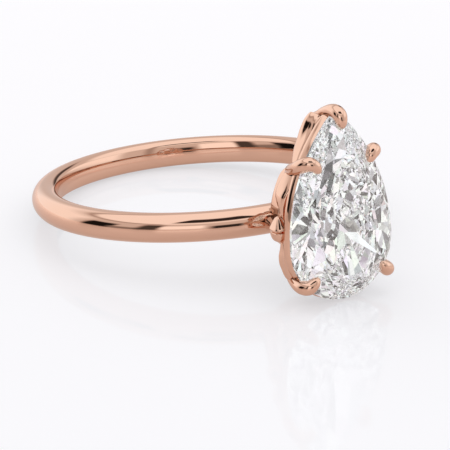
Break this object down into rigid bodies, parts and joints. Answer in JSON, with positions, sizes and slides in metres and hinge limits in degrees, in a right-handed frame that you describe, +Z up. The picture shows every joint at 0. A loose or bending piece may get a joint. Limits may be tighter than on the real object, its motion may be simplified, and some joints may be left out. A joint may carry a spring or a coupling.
{
  "type": "engagement ring",
  "caption": "Solitaire ring: round-wire shank, petal head with rounded claws and a faceted pear stone, lying on its side.",
  "frame": {"origin": "centre of the resting box, on the surface the ring lies on", "axes": "+X from the far side of the band towards the stone, +Y across the head, +Z up off the surface; the finger's axis leans back from +Z by the resting tilt"},
  "size_m": [0.025, 0.0198, 0.0107],
  "materials": {
    "rose_gold": "mirror-polished rose gold",
    "diamond": "faceted and polished, colourless"
  },
  "bodies": {
    "root": {"pear_stone": "diamond", "shank": "rose_gold", "base_ring": "rose_gold", "seat_rail": "rose_gold", "claw_point": "rose_gold", "claw_shoulder_right": "rose_gold", "claw_shoulder_left": "rose_gold", "claw_lobe_right": "rose_gold", "claw_lobe_left": "rose_gold", "leaf_right": "rose_gold", "leaf_left": "rose_gold", "petal_point_right": "rose_gold", "petal_point_left": "rose_gold", "petal_shoulder_right": "rose_gold", "petal_shoulder_left": "rose_gold", "petal_lobe_right": "rose_gold", "petal_lobe_left": "rose_gold", "petal_end": "rose_gold"}
  },
  "joints": []
}
